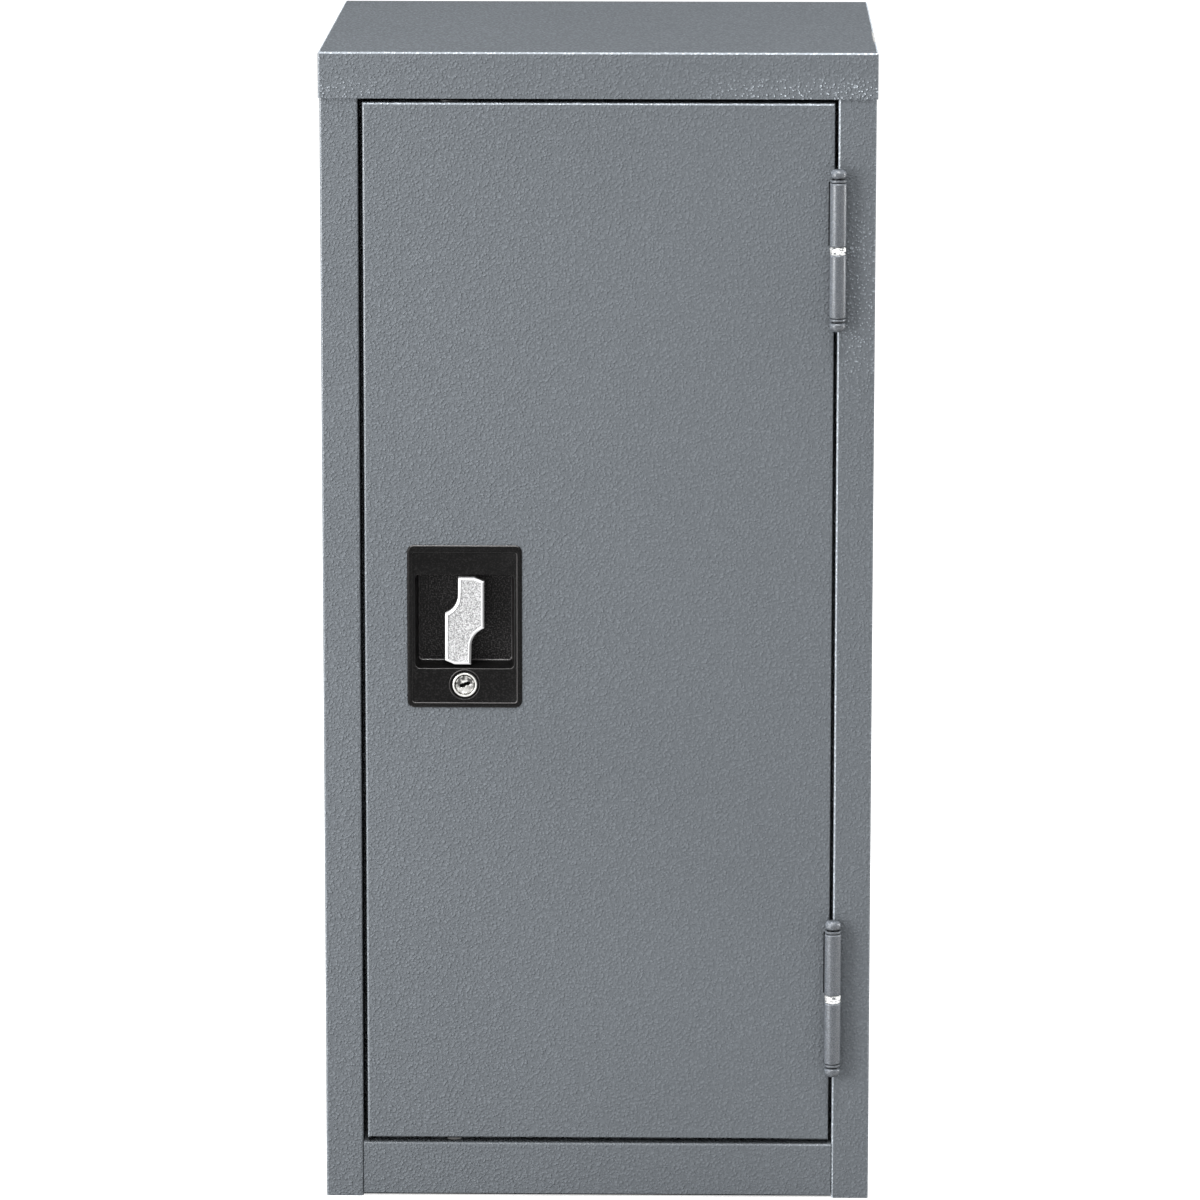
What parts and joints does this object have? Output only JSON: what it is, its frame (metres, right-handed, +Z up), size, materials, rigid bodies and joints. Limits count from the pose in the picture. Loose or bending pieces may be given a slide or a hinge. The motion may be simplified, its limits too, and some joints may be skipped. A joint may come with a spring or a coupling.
{
  "type": "wall-mounted storage cabinet",
  "caption": "Wall-mounted steel storage cabinet with a hinged door, recessed turn lever, key lock, locking rods and lift-out shelves.",
  "frame": {"origin": "centre of the four wall holes, on the outer face of the back panel", "axes": "+X to the viewer's right, -Y out of the wall through the door, +Z up"},
  "size_m": [0.3492, 0.3336, 0.7366],
  "materials": {
    "grey_paint": "wrinkled powder coat, semi-gloss",
    "bare_washer": "bare turned steel",
    "black_plastic": "fine moulded texture",
    "black_nylon": "smooth nylon",
    "black_rubber": "soft rubber",
    "satin_zinc_casting": "satin, grainy die casting",
    "chrome": "chrome plate",
    "zinc_plate": "zinc plate"
  },
  "bodies": {
    "cabinet": {"left_side_panel": "grey_paint", "right_side_panel": "grey_paint", "back_panel": "grey_paint", "top_cap": "grey_paint", "bottom_pan": "grey_paint", "strip_front_left": "grey_paint", "strip_rear_left": "grey_paint", "strip_front_right": "grey_paint", "strip_rear_right": "grey_paint", "lower_shelf_clips": "zinc_plate", "upper_shelf_clips": "zinc_plate", "door_stops": "black_rubber", "upper_hinge_frame_leaf": "grey_paint", "upper_hinge_pin": "grey_paint", "upper_hinge_washer": "bare_washer", "upper_hinge_tip": "grey_paint", "lower_hinge_frame_leaf": "grey_paint", "lower_hinge_pin": "grey_paint", "lower_hinge_washer": "bare_washer", "lower_hinge_tip": "grey_paint"},
    "door": {"door_pan": "grey_paint", "door_stiffener": "grey_paint", "upper_hinge_door_leaf": "grey_paint", "lower_hinge_door_leaf": "grey_paint", "handle_cup": "black_plastic", "cup_clamp": "zinc_plate", "cup_screws": "zinc_plate", "lock_barrel": "chrome", "lock_nut": "zinc_plate", "upper_rod_bush": "black_nylon", "lower_rod_bush": "black_nylon", "upper_rod_guide": "black_nylon", "lower_rod_guide": "black_nylon"},
    "lever": {"lever": "satin_zinc_casting", "lever_spindle": "zinc_plate", "latch_plate": "zinc_plate", "latch_screw": "zinc_plate"},
    "key_plug": {"lock_plug": "chrome", "lock_cam": "zinc_plate", "lock_cam_screw": "zinc_plate"},
    "upper_rod": {"upper_rod": "zinc_plate"},
    "lower_rod": {"lower_rod": "zinc_plate"},
    "lower_shelf": {"lower_shelf": "grey_paint"},
    "upper_shelf": {"upper_shelf": "grey_paint"}
  },
  "joints": [
    {"name": "door_swing", "type": "hinge", "parent": "cabinet", "child": "door", "pos_m": [0.15003, -0.32835, 0], "axis": [0, 0, 1], "range_deg": [0, 180]},
    {"name": "lever_turn", "type": "hinge", "parent": "door", "child": "lever", "pos_m": [-0.08403, -0.32295, 0.0076], "axis": [0, 1, 0], "range_deg": [0, 90]},
    {"name": "key_turn", "type": "hinge", "parent": "door", "child": "key_plug", "pos_m": [-0.08403, -0.32295, -0.03315], "axis": [0, -1, 0], "range_deg": [0, 90]},
    {"name": "upper_rod_slide", "type": "slide", "parent": "door", "child": "upper_rod", "axis": [0, 0, 1], "range_m": [0, 0.01561]},
    {"name": "lower_rod_slide", "type": "slide", "parent": "door", "child": "lower_rod", "axis": [0, 0, -1], "range_m": [0, 0.01561]},
    {"name": "lower_shelf_lift", "type": "slide", "parent": "cabinet", "child": "lower_shelf", "axis": [0, 0, 1], "range_m": [0, 0.0254]},
    {"name": "upper_shelf_lift", "type": "slide", "parent": "cabinet", "child": "upper_shelf", "axis": [0, 0, 1], "range_m": [0, 0.0254]}
  ],
  "couplings": [
    {"joint": "upper_rod_slide", "follows": "lever_turn", "m_per_rad": 0.009903},
    {"joint": "lower_rod_slide", "follows": "lever_turn", "m_per_rad": 0.009903}
  ]
}
